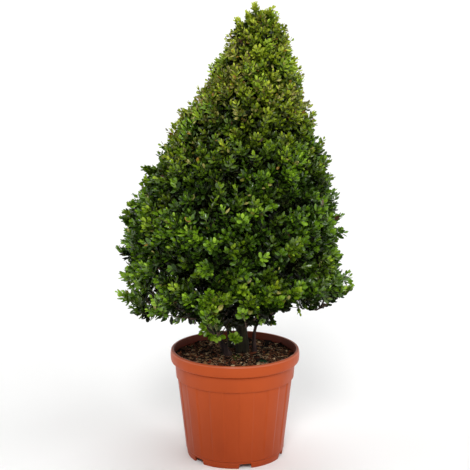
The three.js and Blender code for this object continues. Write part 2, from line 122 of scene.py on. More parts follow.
TUFTS = TIP_TUFTS + HEM_TUFTS + HANGING_TUFTS + OUTLINE_TUFTS + FRONT_TUFTS
# Tufts that hang under the crown are darkened as painted shade, and tufts at the front are lightened as
# painted light.
TUFT = Named(
    shoots=4, spread=4, depth=(1, 7), heart_below=60, hangs_below=320, hanging_tone=-0.38,
    front_from=-200, front_tone=0.17,
)


# Numbers and vectors.


def seeded(seed):
    """A run of numbers from 0 to 1, the same as in the solids."""
    low_bits = 0xFFFFFFFF
    state = (seed * 2654435761) & low_bits
    while True:
        state = (state + 0x6D2B79F5) & low_bits
        t = ((state ^ (state >> 15)) * (1 | state)) & low_bits
        t = ((t + (t ^ (t >> 7)) * (61 | t)) & low_bits) ^ t
        yield (t ^ (t >> 14)) / 4294967296


def unit(vectors):
    return vectors / np.maximum(np.linalg.norm(vectors, axis=-1, keepdims=True), 1e-9)


def lerp(a, b, share):
    return a + (b - a) * share


def smoothstep(value, low, high):
    share = np.clip((value - low) / (high - low), 0, 1)
    return share * share * (3 - 2 * share)


def bell(value, size, middle, spread):
    """A swelling of a given size about its middle."""
    return size * np.exp(-(((value - middle) / spread) ** 2))


def noise_at(points, wavelength, seed):
    """Smooth noise from about -1 to 1 at each point."""
    shifted = points / wavelength + 17.3 * seed
    values = [noise.noise(Vector(p)) for p in shifted.reshape(-1, 3)]
    return np.array(values).reshape(shifted.shape[:-1]) * 1.6


def angles(count):
    """Angles spread evenly over a full turn."""
    return np.arange(count) * FULL_TURN / count


def toward(angle):
    """The flat unit vector at an angle."""
    return np.array([math.cos(angle), math.sin(angle), 0])


def on_rings(radius, angle, height=0):
    """Points at a radius, an angle and a height round the z axis."""
    return np.stack(np.broadcast_arrays(radius * np.cos(angle), radius * np.sin(angle), height), axis=-1)


def turned(first, second, angle):
    """Two coordinates turned by an angle in their own plane."""
    return first * np.cos(angle) - second * np.sin(angle), first * np.sin(angle) + second * np.cos(angle)


# Meshes and objects.


def add_object(name, data):
    added = bpy.data.objects.new(name, data)
    bpy.context.scene.collection.objects.link(added)
    return added


def smooth_mesh(name, points, faces, looks):
    """A smooth mesh from points in metres."""
    mesh = bpy.data.meshes.new(name)
    mesh.from_pydata(points, [], faces)
    for look in looks:
        mesh.materials.append(look.material)
    mesh.shade_smooth()
    return mesh


def make_piece(name, shape, looks, node, crease=None):
    """Makes a mesh object that stands for a solid, from points in millimetres, faces and their looks."""
    points, faces, *tints = shape
    mesh = smooth_mesh(name, np.asarray(points) * MM, faces, looks)
    if tints:
        mesh.polygons.foreach_set("material_index", *tints)
    if crease is not None:
        mesh.set_sharp_from_angle(angle=math.radians(crease))
    piece = add_object(name, mesh)
    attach(piece, "root")
    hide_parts(node)
    return piece


def grid_faces(rows, columns):
    """Quads between rows of points that close round on themselves."""
    row = columns * np.arange(rows - 1)[:, None]
    here = np.arange(columns)
    after = (here + 1) % columns
    corners = [row + here, row + after, row + columns + after, row + columns + here]
    return np.stack(corners, axis=-1).reshape(-1, 4)


def capped_grid(rows, columns):
    """The quads of grid_faces and a face that closes the first row."""
    return [*grid_faces(rows, columns).tolist(), list(range(columns))[::-1]]


def tubes(paths, radii, sides):
    """Tapered tubes along many paths at once: paths is (count, steps, 3) and radii (count, steps)."""
    count, steps = radii.shape
    along = unit(np.gradient(paths, axis=1))
    chord = unit(paths[:, -1] - paths[:, 0])
    least = np.eye(3)[np.argmin(np.abs(chord), axis=1)]
    aside = unit(np.cross(along, least[:, None]))
    across = np.cross(along, aside)
    angle = angles(sides)[:, None]
    ring = np.cos(angle) * aside[:, :, None] + np.sin(angle) * across[:, :, None]
    points = paths[:, :, None] + radii[:, :, None, None] * ring
    faces = grid_faces(steps, sides)[None] + steps * sides * np.arange(count)[:, None, None]
    return points.reshape(-1, 3), faces.reshape(-1, 4)


def joined(parts):
    """Puts point and face arrays together."""
    offset, points, faces = 0, [], []
    for part_points, part_faces in parts:
        points.append(part_points)
        faces.append(part_faces + offset)
        offset += len(part_points)
    return np.concatenate(points), np.concatenate(faces)


# Materials.


class Look:
    """A material with its principled shader and the nodes that feed it."""

    def __init__(self, name, colour, roughness, specular=0.5):
        self.material = bpy.data.materials.new(name)
        self.material.use_nodes = True
        self.tree = self.material.node_tree
        self.shader = self.tree.nodes["Principled BSDF"]
        plain = {"Base Color": (*colour, 1), "Roughness": roughness, "Specular IOR Level": specular}
        self.feed(self.shader, plain)
        self.place = self.tree.nodes.new("ShaderNodeTexCoord").outputs["Object"]

    def feed(self, node, inputs):
        """Links a node's inputs to the outputs of others, or sets them to plain values."""
        for name, value in inputs.items():
            if isinstance(value, bpy.types.NodeSocket):
                self.tree.links.new(value, node.inputs[name])
            else:
                node.inputs[name].default_value = value
        return node

    def new(self, kind, inputs):
        return self.feed(self.tree.nodes.new("ShaderNode" + kind), inputs)

    def noise(self, size, detail, stretch=(1, 1, 1)):
        """Noise with lumps of about the given size in metres."""
        place = self.new("Mapping", {"Vector": self.place, "Scale": stretch}).outputs["Vector"]
        return self.new("TexNoise", {"Vector": place, "Scale": 1 / size, "Detail": detail}).outputs["Fac"]

    def mapped(self, value, known, wanted):
        """A value that goes over the wanted range as the given one goes over its known range."""
        ends = dict(zip(("From Min", "From Max", "To Min", "To Max"), (*known, *wanted)))
        return self.new("MapRange", {"Value": value} | ends).outputs["Result"]

    def ramp(self, value, stops):
        """Colours the base by a value, from stops of (position, colour)."""
        ramp = self.new("ValToRGB", {"Fac": value})
        elements = ramp.color_ramp.elements
        while len(elements) < len(stops):
            elements.new(0.5)
        for element, (position, colour) in zip(elements, stops):
            element.position = position
            element.color = (*colour, 1)
        self.feed(self.shader, {"Base Color": ramp.outputs["Color"]})

    def along_z(self, heights, wanted):
        """A number that goes evenly over the wanted range between two heights."""
        split = self.new("SeparateXYZ", {"Vector": self.place})
        return self.mapped(split.outputs["Z"], heights, wanted)

    def add(self, first, second):
        return self.new("Math", {0: first, 1: second}).outputs["Value"]

    def roughen(self, value, low, high):
        """Roughness from low to high over the middle of a noise."""
        self.feed(self.shader, {"Roughness": self.mapped(value, (0.3, 0.7), (low, high))})

    def bump(self, value, depth):
        """Raises the surface by a value, with a depth in metres."""
        bump = self.new("Bump", {"Height": value, "Distance": depth})
        self.feed(self.shader, {"Normal": bump.outputs["Normal"]})


def plastic_look(name, shaded_foot_colour, rim_colour, specular=0.2):
    """Moulded plastic with random blotches, and painted shade that makes it a little darker towards the
    foot.
    """
    look = Look(name, rim_colour, 0.37, specular)
    # The colour runs from the foot colour to the rim colour with height, as painted shade, mixed with random
    # blotches.
    blotches_and_shade = look.add(look.along_z((0, POT.height * MM), (-0.4, 0.4)), look.noise(0.09, 4, (1, 1, 0.4)))
    look.ramp(blotches_and_shade, [(0.1, shaded_foot_colour), (0.9, rim_colour)])
    look.roughen(look.noise(0.012, 4, (1, 1, 0.3)), 0.36, 0.5)
    look.bump(look.noise(0.02, 2, (1, 1, 0.15)), 0.0004)
    return look


def peat_look():
    look = Look("peat", (0.02, 0.012, 0.008), 0.95, 0.15)
    stops = [(0.35, (0.002, 0.0015, 0.001)), (0.55, (0.011, 0.006, 0.004)), (0.72, (0.05, 0.027, 0.016))]
    look.ramp(look.noise(0.006, 6), stops)
    look.bump(look.noise(0.0025, 4), 0.002)
    return look


def crumb_look(name, colour):
    look = Look(name, colour, 0.85, 0.1)
    dark = tuple(0.45 * c for c in colour)
    look.ramp(look.noise(0.004, 4, (1, 1, 3)), [(0.35, dark), (0.62, colour)])
    look.bump(look.noise(0.0012, 3), 0.0008)
    return look


def bark_look(name, furrow, ridge):
    look = Look(name, ridge, 0.85, 0.25)
    look.ramp(look.noise(0.006, 6, (1, 1, 0.16)), [(0.36, furrow), (0.66, ridge)])
    look.bump(look.noise(0.003, 5, (1, 1, 0.2)), 0.0022)
    return look


def leaf_look(name, colour, gloss=0.4):
    look = Look(name, colour, 0.26, gloss)
    look.roughen(look.noise(0.006, 2), 0.14, 0.36)
    look.bump(look.noise(0.005, 1), 0.0007)
    return look


# A darker terracotta at the foot: painted shade towards the pot's foot.
SHADED_TERRACOTTA = (0.28, 0.036, 0.003)
PLASTIC = plastic_look("pot_plastic", SHADED_TERRACOTTA, (0.41, 0.062, 0.008))
# The rim's rounded top gets a lighter, glossier copy of the plastic: a painted highlight.
RIM_HIGHLIGHT_PLASTIC = plastic_look("pot_rim_highlight", SHADED_TERRACOTTA, (0.43, 0.075, 0.014), specular=0.6)
# The inside wall and floor are a much darker plastic: painted shade under the rim and the crown.
SHADED_INSIDE_PLASTIC = plastic_look("pot_inside", (0.05, 0.014, 0.006), (0.17, 0.026, 0.008))
PEAT = peat_look()
CRUMBS = [
    crumb_look("crumb_dark", (0.011, 0.006, 0.004)),
    crumb_look("crumb_brown", (0.105, 0.047, 0.023)),
    crumb_look("crumb_red", (0.25, 0.075, 0.034)),
    crumb_look("crumb_tan", (0.36, 0.185, 0.085)),
    crumb_look("crumb_straw", (0.85, 0.62, 0.36)),
]
TRUNK_BARK = bark_look("bark_trunk", (0.010, 0.008, 0.004), (0.042, 0.035, 0.016))
STEM_BARK = bark_look("bark_stem", (0.014, 0.008, 0.008), (0.075, 0.043, 0.038))
TWIG_BARK = bark_look("bark_twig", (0.03, 0.017, 0.011), (0.10, 0.060, 0.036))
SHOOT_BARK = bark_look("bark_shoot", (0.10, 0.12, 0.03), (0.22, 0.25, 0.07))

# Greens of the leaves from the darkest to the lightest with their gloss, in a cool, a plain and a warm
# family. Besides the leaves' own ages, the greens carry painted shade and light: the darker ones paint shade
# deep in and under the crown, the lighter ones paint light on the low sprays, the hem ends, the front tufts
# and the top. The yellowed and dry leaves have tints of their own.
TONES = [
    ("shade", (0.008, 0.010, 0.003), 0.15),
    ("old", (0.013, 0.022, 0.004), 0.2),
    ("deep", (0.024, 0.046, 0.004), 0.25),
    ("green", (0.044, 0.082, 0.004), 0.5),
    ("mid", (0.077, 0.137, 0.005), 0.55),
    ("fresh", (0.132, 0.216, 0.007), 0.5),
    ("lime", (0.216, 0.33, 0.012), 0.45),
    ("pale", (0.33, 0.45, 0.03), 0.4),
    ("bright", (0.44, 0.58, 0.05), 0.35),
]
TONE_STEPS = 8
WARMTH = {"cool": 0.84, "plain": 0.97, "warm": 1.14}
GREENS = [
    leaf_look(f"leaf_{family}_{tone}", (red * warmth, green, blue), gloss)
    for family, warmth in WARMTH.items()
    for tone, (red, green, blue), gloss in TONES
]
TINGED = [
    leaf_look("leaf_olive", (0.14, 0.145, 0.018)),
    leaf_look("leaf_yellow", (0.40, 0.37, 0.10)),
    leaf_look("leaf_bronze", (0.34, 0.18, 0.03)),
    leaf_look("leaf_dry", (0.10, 0.05, 0.028)),
]
LEAVES = GREENS + TINGED
OLIVE, YELLOW, BRONZE, DRY = range(len(GREENS), len(LEAVES))
TINGED_SHARES = {OLIVE: 1, YELLOW: 0.35, BRONZE: 0.07}
TINGED_FROM = 3
DRY_SHARE = 0.003
FALLEN_LOOKS = [
    leaf_look("leaf_fallen_green", (0.008, 0.034, 0.014)),
    leaf_look("leaf_fallen_fresh", (0.06, 0.11, 0.008), 0.2),
    LEAVES[DRY],
    LEAVES[BRONZE],
    leaf_look("leaf_fallen_pale", (0.28, 0.18, 0.08), 0.1),
]


# The pot.


def rounded(corners, steps=6):
    """An outline of [radius, height] points from corners of (radius, height, rounding)."""
    places = np.array(corners, float)[:, :2]
    outline = []
    for i, corner in enumerate(places):
        rounding = corners[i][2]
        if rounding == 0:
            outline.append(corner)
            continue
        start = corner + rounding * unit(places[i - 1] - corner)
        end = corner + rounding * unit(places[i + 1] - corner)
        for share in np.linspace(0, 1, steps):
            outline.append(lerp(lerp(start, corner, share), lerp(corner, end, share), share))
    return np.array(outline)


def pot_outline():
    """The pot's section, from the middle of its underside over the rim to the middle of its floor."""
    foot, band, rim = POT.foot_radius, POT.band_radius, POT.rim_radius
    base, rim_foot = POT.foot_height, POT.height - POT.rim_height
    body_foot, body_top = base + 4, rim_foot - POT.band_height
    body = [
        (lerp(POT.body_foot_radius, POT.body_top_radius, share), lerp(body_foot, body_top, share), 0)
        for share in np.linspace(0, 0.975, 14)
    ]
    corners = [
        (0, base, 0),
        (foot - POT.foot_ring - 1, base, 1),
        (foot - POT.foot_ring, 0, 0.8),
        (foot, 0, 1),
        (foot + POT.foot_bead, base - POT.bead_height, 1),
        (foot + 1, base + POT.bead_height, 0.8),
        *body,
        (POT.body_top_radius - POT.groove / 2, body_top, 0),
        (band - POT.band_taper, body_top, 0.7),
        (band, rim_foot - 1.6 * POT.groove, 1),
        (band - POT.groove, rim_foot, 0.5),
        (rim - 2, rim_foot, 2.5),
        (rim, rim_foot + POT.rim_bulge_at, 8),
        (rim - POT.rim_taper, POT.height, POT.rim_round),
        (rim - POT.rim_width, POT.height - 1, 1),
        (band - POT.wall, rim_foot - 3, 2),
        (POT.body_top_radius - POT.wall, body_top, 0),
        (POT.body_foot_radius - POT.wall, base + POT.floor, 2),
        (0, base + POT.floor, 0),
    ]
    return rounded(corners)


def flute_at(angle):
    """How deep the body's outside is pressed in at an angle."""
    wave = 0.5 + 0.5 * np.cos((angle - math.radians(POT.flute_turn)) * POT.flutes)
    return POT.flute_depth * smoothstep(wave, 0.4, 0.6)


def cut_out(piece, tools):
    """Cuts tools, each made of points and faces, out of a piece for good."""
    points, faces = [], []
    for tool_points, tool_faces in tools:
        faces += [[index + len(points) for index in face] for face in tool_faces]
        points += [tuple(point * MM) for point in tool_points]
    cutter = add_object("tools", smooth_mesh("tools", points, faces, []))
    modifier = piece.modifiers.new("cut", "BOOLEAN")
    modifier.operation = "DIFFERENCE"
    modifier.object = cutter
    modifier.solver = "EXACT"
    graph = bpy.context.evaluated_depsgraph_get()
    cut = bpy.data.meshes.new_from_object(piece.evaluated_get(graph))
    piece.modifiers.clear()
    piece.data = cut
    bpy.data.objects.remove(cutter)


def prism(foot, top):
    """A closed prism between two outlines of the same number of points."""
    count = len(foot)
    walls = [[i, (i + 1) % count, count + (i + 1) % count, count + i] for i in range(count)]
    return np.array([*foot, *top]), [list(range(count))[::-1], list(range(count, 2 * count)), *walls]


def notch_tool(angle, reach=24):
    """A notch through the foot ring, wider at the floor than at its top."""
    near, far = POT.foot_radius - reach, POT.foot_radius + reach
    out = toward(angle)
    side = np.array([-out[1], out[0], 0])

    def ring(half_width, height):
        corners = [(near, -half_width), (far, -half_width), (far, half_width), (near, half_width)]
        return [out * forward + side * sideways + (0, 0, height) for forward, sideways in corners]

    foot = POT.notch_width / 2
    return prism(ring(foot, -1), ring(foot - POT.notch_taper, POT.foot_height - 1))


def drain_tool(angle):
    ring = on_rings(POT.drain_radius, angles(24)) + POT.drain_circle * toward(angle)
    return prism(ring + (0, 0, POT.foot_height - 5), ring + (0, 0, POT.foot_height + 8))


def make_pot():
    outline = pot_outline()
    angle = angles(POT.segments)
    radius, height = outline[:, :1], outline[:, 1:]
    brim = np.argmax(outline[:, 1])
    body_top = POT.height - POT.rim_height - POT.band_height
    on_body = (height > POT.foot_height + 3.9) & (height < body_top + 0.1)
    outside = np.arange(len(outline))[:, None] < brim
    fade = smoothstep(height, *(POT.foot_height + rise for rise in POT.flute_fade))
    pressed = np.where(on_body & outside, flute_at(angle)[None] * fade, 0)
    rings = on_rings(radius - pressed * (radius > POT.foot_radius), angle, height)[1:-1]
    spans, count = len(rings) - 1, POT.segments
    # Faces inside the pot take the darker plastic, as painted shade.
    inside = np.arange(spans) >= brim + 2
    # The rings over the rim's rounded top take the lighter plastic as a painted highlight.
    on_rim_highlight = ~inside & (outline[1:-2, 1] > POT.height - POT.rim_round)
    tints = [*np.repeat(inside + 2 * on_rim_highlight, count).astype(int), 0, 1]
    faces = capped_grid(len(rings), count) + [[spans * count + i for i in range(count)]]
    looks = [PLASTIC, SHADED_INSIDE_PLASTIC, RIM_HIGHLIGHT_PLASTIC]
    piece = make_piece("pot_shell", (rings.reshape(-1, 3), faces, tints), looks, "pot")
    notches = [math.radians(POT.notch_turn - 90 + i * 360 / POT.notches) for i in range(POT.notches)]
    drains = angles(POT.drain_holes)
    cut_out(piece, [notch_tool(a) for a in notches] + [drain_tool(a) for a in drains])
    piece.data.shade_smooth()
    piece.data.set_sharp_from_angle(angle=math.radians(32))


# The potting soil.


def soil_height(points):
    """The soil's surface over points on the ground plane."""
    rise = smoothstep(np.linalg.norm(points[:, :2], axis=1), SOIL.crest_radius, SOIL.radius)
    flat = points * (1, 1, 0)
    lumps = sum(size * noise_at(flat, width, seed) for seed, (size, width) in enumerate(LUMPS, 1))
    return lerp(SOIL.crest, SOIL.edge, rise) + lumps - 0.8


def on_disc(rng, count, inner, outer):
    """Points spread evenly over a ring on the ground plane."""
    radius = np.sqrt(rng.uniform(inner**2, outer**2, count))
    return on_rings(radius, rng.uniform(0, FULL_TURN, count))


def crumbs(rng):
    """Flat chips of bark and clods, each a box with its corners moved about."""
    count = CHIP.count
    place = on_disc(rng, count, 0, SOIL.radius - CHIP.from_wall)
    place[:, 2] = soil_height(place) + CHIP.raised
    length = np.clip(rng.lognormal(*CHIP.log_length, count), *CHIP.lengths)
    width = length * rng.uniform(*CHIP.width, count)
    height = length * rng.uniform(*CHIP.height, count)
    corners = np.array([[x, y, z] for z in (-0.5, 0.5) for y in (-0.5, 0.5) for x in (-0.5, 0.5)])
    boxes = corners + rng.uniform(-CHIP.uneven, CHIP.uneven, (count, 8, 3))
    x, y, z = np.moveaxis(boxes * np.column_stack([length, width, height])[:, None], -1, 0)
    turn, tilt = rng.uniform(0, FULL_TURN, count), rng.normal(0, CHIP.tilt, count)
    x, z = turned(x, z, tilt[:, None])
    x, y = turned(x, y, turn[:, None])
    points = np.stack([x, y, z], axis=-1) + place[:, None]
    sides = np.array([[0, 2, 3, 1], [4, 5, 7, 6], [0, 1, 5, 4], [2, 6, 7, 3], [0, 4, 6, 2], [1, 3, 7, 5]])
    faces = sides[None] + 8 * np.arange(count)[:, None, None]
    tint = rng.choice(len(CRUMBS), count, p=CHIP.shares)
    return points.reshape(-1, 3), faces.reshape(-1, 4), np.repeat(tint, len(sides))


def fibres(rng):
    """Short roots and straws that lie on the soil."""
    count, steps = FIBRE.count, FIBRE.steps
    start = on_disc(rng, count, 0, SOIL.radius - FIBRE.from_wall)
    turn = rng.uniform(0, FULL_TURN, count)
    length = rng.uniform(*FIBRE.lengths, count)
    bend = rng.uniform(-FIBRE.bend, FIBRE.bend, (count, 1)) * np.linspace(0, 1, steps) + turn[:, None]
    step = (length / (steps - 1))[:, None, None] * on_rings(1, bend)
    places = (start[:, None] + np.cumsum(step, axis=1) - step[:, :1]).reshape(-1, 3)
    too_far = np.linalg.norm(places[:, :2], axis=1) > SOIL.radius - 2
    places[too_far, :2] *= 0.93
    places[:, 2] = soil_height(places) + rng.uniform(*FIBRE.raised, len(places))
    radii = np.repeat(rng.uniform(*FIBRE.radii, (count, 1)), steps, axis=1)
    points, faces = tubes(places.reshape(count, steps, 3), radii, 4)
    tint = rng.choice(2, count, p=[1 - FIBRE.straw_share, FIBRE.straw_share])
    return points, faces, np.repeat(tint, len(faces) // count)


def fallen_leaves(rng):
    """Leaves that lie on the soil: a large green one in front, a few at the trunk's foot and some about."""
    about = on_disc(rng, FALLEN.about, FALLEN.from_middle, SOIL.radius - FALLEN.from_wall)
    at_trunk = np.array(FALLEN.trunk) + rng.uniform(-FALLEN.spread, FALLEN.spread, (FALLEN.at_trunk, 3))
    foot = np.vstack([FALLEN.front, at_trunk, about])
    count = len(foot)
    foot[:, 2] = soil_height(foot) + rng.uniform(*FALLEN.raised, count)
    turn = rng.uniform(0, FULL_TURN, count)
    along = unit(on_rings(1, turn, rng.uniform(0, 0.3, count)))
    across = np.column_stack([-np.sin(turn), np.cos(turn), rng.normal(0, 0.3, count)])
    facing = unit(np.cross(across, -along))
    along[0], facing[0] = unit(np.array([1, 0.1, 0.1])), unit(np.array([0, -0.7, 0.7]))
    lengths = np.array([FALLEN.front_length] + [FALLEN.length] * (count - 1))
    length = lengths * rng.uniform(0.8, 1, count)
    leaf = {"foot": foot, "along": along, "facing": facing, "length": length, "cup": np.ones(count)}
    tint = [0] + [1] * FALLEN.at_trunk + [2 + i % 3 for i in range(FALLEN.about)]
    return *leaf_meshes(leaf), np.repeat(tint, len(LEAF_FACES))


def make_soil():
    rng = np.random.default_rng(31)
    count = SOIL.segments
    points = on_rings(np.linspace(1, SOIL.radius, SOIL.rings)[:, None], angles(count)).reshape(-1, 3)
    points[:, 2] = soil_height(points)
    skirt = points[-count:] * (0.985, 0.985, 1) - (0, 0, SOIL.skirt)
    surface = np.concatenate([points, skirt]), capped_grid(SOIL.rings + 1, count)
    make_piece("soil_surface", surface, [PEAT], "soil")
    make_piece("soil_crumbs", crumbs(rng), CRUMBS, "soil", crease=30)
    make_piece("soil_fibres", fibres(rng), [CRUMBS[2], CRUMBS[4]], "soil")
    make_piece("soil_fallen_leaves", fallen_leaves(rng), FALLEN_LOOKS, "soil")


# Limbs: the trunk and the side stems, on the same paths as the solids.

LIMBS = {
    "trunk": Named(
        path=[
            (17, 4, ON_SOIL), (14, 5, 275), (8, 5, 350), (5, 2, 460),
            (13, -2, 600), (28, 2, 745), (37, 0, 850),
        ],
        foot_radius=12.5, tip_radius=3.2, flare=4.5, bark=TRUNK_BARK, sides=40, seed=11,
    ),
    "stem_left": Named(
        path=[(-15, -24, ON_SOIL), (-37, -26, 267), (-57, -23, 291), (-74, -19, 310)],
        foot_radius=6.5, tip_radius=3.6, flare=2.5, bark=STEM_BARK, sides=24, seed=14,
    ),
    "stem_right": Named(
        path=[(42, -2, ON_SOIL), (41, -2, 262), (46, -2, 288), (56, -1, 308)],
        foot_radius=4.2, tip_radius=2.8, flare=1.5, bark=STEM_BARK, sides=20, seed=17,
    ),
    "stem_back": Named(
        path=[(-8, 29, ON_SOIL), (-14, 42, 268), (-22, 52, 290), (-34, 65, 310)],
        foot_radius=6, tip_radius=3.4, flare=2.2, bark=TRUNK_BARK, sides=24, seed=20,
    ),
}
BARK = Named(
    stretch=0.16, ridge=0.07, ridge_size=5, bend=0.08, bend_size=26, lobe=0.22, lobe_size=7,
)


def smooth_path(points, count=201):
    """Evenly spaced places on a centripetal Catmull-Rom curve through the points."""
    known = np.array(points, float)
    known = np.concatenate([[2 * known[0] - known[1]], known, [2 * known[-1] - known[-2]]])
    gaps = np.sqrt(np.linalg.norm(np.diff(known, axis=0), axis=1))
    share = np.linspace(0, 1, 60)[:, None]
    dense = []
    for i in range(1, len(known) - 2):
        p0, p1, p2, p3 = known[i - 1 : i + 3]
        d0, d1, d2 = gaps[i - 1 : i + 2]
        out = ((p1 - p0) / d0 - (p2 - p0) / (d0 + d1) + (p2 - p1) / d1) * d1
        into = ((p2 - p1) / d1 - (p3 - p1) / (d1 + d2) + (p3 - p2) / d2) * d1
        cubic = 2 * p1 - 2 * p2 + out + into
        square = -3 * p1 + 3 * p2 - 2 * out - into
        dense.append(p1 + out * share + square * share**2 + cubic * share**3)
    dense = np.concatenate(dense)
    run = np.concatenate([[0], np.cumsum(np.linalg.norm(np.diff(dense, axis=0), axis=1))])
    even = np.linspace(0, run[-1], count)
    return np.column_stack([np.interp(even, run, dense[:, axis]) for axis in range(3)])


# Each limb's curve, its share of the flare at the soil, and its radius along the curve.
for limb in LIMBS.values():
    limb.curve = smooth_path(limb.path)
    limb.flaring = np.exp(-(limb.curve[:, 2] - ON_SOIL) / FLARE_HEIGHT)
    taper = lerp(limb.foot_radius, limb.tip_radius, np.linspace(0, 1, len(limb.curve)) ** 0.8)
    limb.radii = taper + limb.flare * limb.flaring


def make_limb(name, limb):
    """A limb with ridges and knots in its bark."""
    steps, sides = len(limb.curve), limb.sides
    points, faces = tubes(limb.curve[None], limb.radii[None], sides)
    rings = points.reshape(steps, sides, 3)
    out = (rings - limb.curve[:, None]) / limb.radii[:, None, None]
    ridges = noise_at(rings * (1, 1, BARK.stretch), BARK.ridge_size, limb.seed)
    bends = noise_at(rings, BARK.bend_size, limb.seed + 1)
    lobes = limb.flaring[:, None] * noise_at(out[0] * 8, BARK.lobe_size, limb.seed + 2)
    relief = BARK.ridge * ridges + BARK.bend * bends + BARK.lobe * lobes
    rings = rings + out * (relief * limb.radii[:, None])[..., None]
    rings[0, :, 2] = ON_SOIL - 1.5
    tip = list(range((steps - 1) * sides, steps * sides))
    make_piece(name + "_bark", (rings.reshape(-1, 3), [*faces.tolist(), tip]), [limb.bark], name)


# The clipped crown.

UNDER_SHARE = 0.26
ALLOWANCE = Named(tip=23, under=16, top=2)
FULL_SIZE_TO = 500
TIP_SCALE = 0.65


def crown_axis(z):
    nod = CROWN.nod * smoothstep(z, *CROWN.nod_over)
    return CROWN.lean * np.maximum(0, z - CROWN.lean_from) + nod - bell(z, *CROWN.sway)


def crown_radius(z):
    cone = CROWN.slope * (CROWN.apex - z)
    mix = np.clip(0.5 + (CROWN.skirt_radius - cone) / (2 * CROWN.skirt_blend), 0, 1)
    side = lerp(CROWN.skirt_radius, cone, mix) - CROWN.skirt_blend * mix * (1 - mix)
    side += bell(z, *CROWN.shoulder)
    side -= bell(z, *CROWN.waist)
    tip = np.sqrt(CROWN.tip_rounding * np.maximum(0, CROWN.top - z))
    return np.where(z < CROWN.tip_from, side, tip)


def crown_floor(radius):
    out = radius / CROWN.skirt_radius
    return CROWN.floor_middle + CROWN.floor_rise * out**2 + CROWN.floor_edge_rise * out**8


def hem_lift(x, y):
    """How much higher the underside is towards the right and the front, less where it sags at the left."""
    return CROWN.floor_tilt * x + CROWN.floor_lift * np.maximum(0, -y) - bell(x, *CROWN.floor_sag)


def inside_crown(points):
    """True for points that stay within the clipped crown and what may stand out of it."""
    x, y, z = np.moveaxis(points, -1, 0)
    radius = np.hypot(x - crown_axis(z), y)
    beside = radius < crown_radius(z - ALLOWANCE.tip) + ALLOWANCE.tip
    above = z > crown_floor(radius) + hem_lift(x, y) - ALLOWANCE.under
    return beside & above & (z < CROWN.top + ALLOWANCE.top)


def size_at(z):
    """Leaves and twigs are smaller towards the tip, where the crown is slender."""
    return lerp(1, TIP_SCALE, np.clip((z - FULL_SIZE_TO) / (CROWN.top - FULL_SIZE_TO), 0, 1))


def crown_targets(count, tuft_shoots):
    """The tufts, then places all over the crown's surface, a golden angle apart, and the ways they face."""
    hem = CROWN.skirt_radius - 8
    floor = [(radius, crown_floor(radius)) for radius in np.arange(hem)]
    side = [(crown_radius(z), z) for z in np.arange(crown_floor(hem) + 2, CROWN.top)]
    outline = np.array([*floor, *side, (0, CROWN.top)], float)
    (r0, z0), (r1, z1) = outline[:-1].T, outline[1:].T
    under = (r1 > r0) & (z1 < crown_floor(CROWN.skirt_radius))
    weight = (r0 + r1) * np.hypot(r1 - r0, z1 - z0) * np.where(under, UNDER_SHARE, 1) / size_at(z1) ** 1.4
    run = np.cumsum(weight)
    at = np.searchsorted(run, (np.arange(count) + 0.5) / count * run[-1])
    angle = np.arange(count) * GOLDEN_ANGLE
    x, y = np.cos(angle), np.sin(angle)
    points = np.column_stack([crown_axis(z1[at]) + r1[at] * x, r1[at] * y, z1[at]])
    points[:, 2] += hem_lift(points[:, 0], points[:, 1]) * (1 - smoothstep(points[:, 2], *CROWN.lift_fade))
    rise, inward = (z1 - z0)[at], (r0 - r1)[at]
    facing = unit(np.column_stack([x * rise, y * rise, inward]))
    tufts = np.repeat(np.array(TUFTS, float), tuft_shoots, axis=0)
    if tuft_shoots > 1:
        tufts += on_rings(TUFT.spread, np.arange(len(tufts)) * GOLDEN_ANGLE)
    heart_below = np.where(tufts[:, 2] < TUFT.hangs_below, -TUFT.heart_below, TUFT.heart_below)
    hearts = np.column_stack([crown_axis(tufts[:, 2]), 0 * heart_below, tufts[:, 2] - heart_below])
    return np.vstack([tufts, points]), np.vstack([unit(tufts - hearts), facing])


# The masses of foliage: tiers round the trunk, each with its height, how many masses it has and its turn.

TIERS = {
    "skirt": (368, 6, 0),
    "lower": (500, 5, 36),
    "middle": (632, 4, 45),
    "upper": (762, 3, 30),
    "tip": (890, 1, 0),
}
SIDES = ["right", "back_right", "back", "back_left", "left", "front_left", "front", "front_right"]
CENTRE_SHARE = 0.56
UNEVEN = 8
STEM = Named(drop=42, least_rise=40, bend_at=0.6, sag=6)
LIMB_OF = {
    "foliage_skirt_left": "stem_left",
    "foliage_skirt_right": "stem_right",
    "foliage_skirt_back_left": "stem_back",
}


def trunk_at(z):
    """The trunk's middle at one or more heights."""
    x, y, known = LIMBS["trunk"].curve.T
    return np.stack([np.interp(z, known, x), np.interp(z, known, y), z], axis=-1)


def mass_centres():
    """The middle of each mass, a few millimetres and degrees off its even place."""
    uneven = seeded(23)
    centres = {}
    for tier, (level, count, turn) in TIERS.items():
        for i in range(count):
            degrees = turn + i * 360 / count
            side = "_" + SIDES[int(degrees / 45 + 0.5) % 8] if count > 1 else ""
            angle = math.radians(degrees + UNEVEN * (next(uneven) - 0.5))
            middle = CENTRE_SHARE * float(crown_radius(level)) if count > 1 else 0
            radius = middle + UNEVEN * (next(uneven) - 0.5)
            z = level + UNEVEN * (next(uneven) - 0.5)
            centres["foliage_" + tier + side] = trunk_at(z) + radius * toward(angle)
    return centres


MASSES = mass_centres()


def stem_foot(name):
    """Where a mass's stem leaves its own limb's tip or the side of the trunk."""
    if name in LIMB_OF or name == "foliage_tip":
        return LIMBS[LIMB_OF.get(name, "trunk")].curve[-1]
    return trunk_at(max(MASSES[name][2] - STEM.drop, ON_SOIL + STEM.least_rise))


# Growth: boughs from the heart of a mass, sprays on the boughs, and leafy shoots on the sprays. Each level
# is spread over the crown's surface by the same rule and hangs on the nearest one of the level before.
# Depths are below that surface, in millimetres.

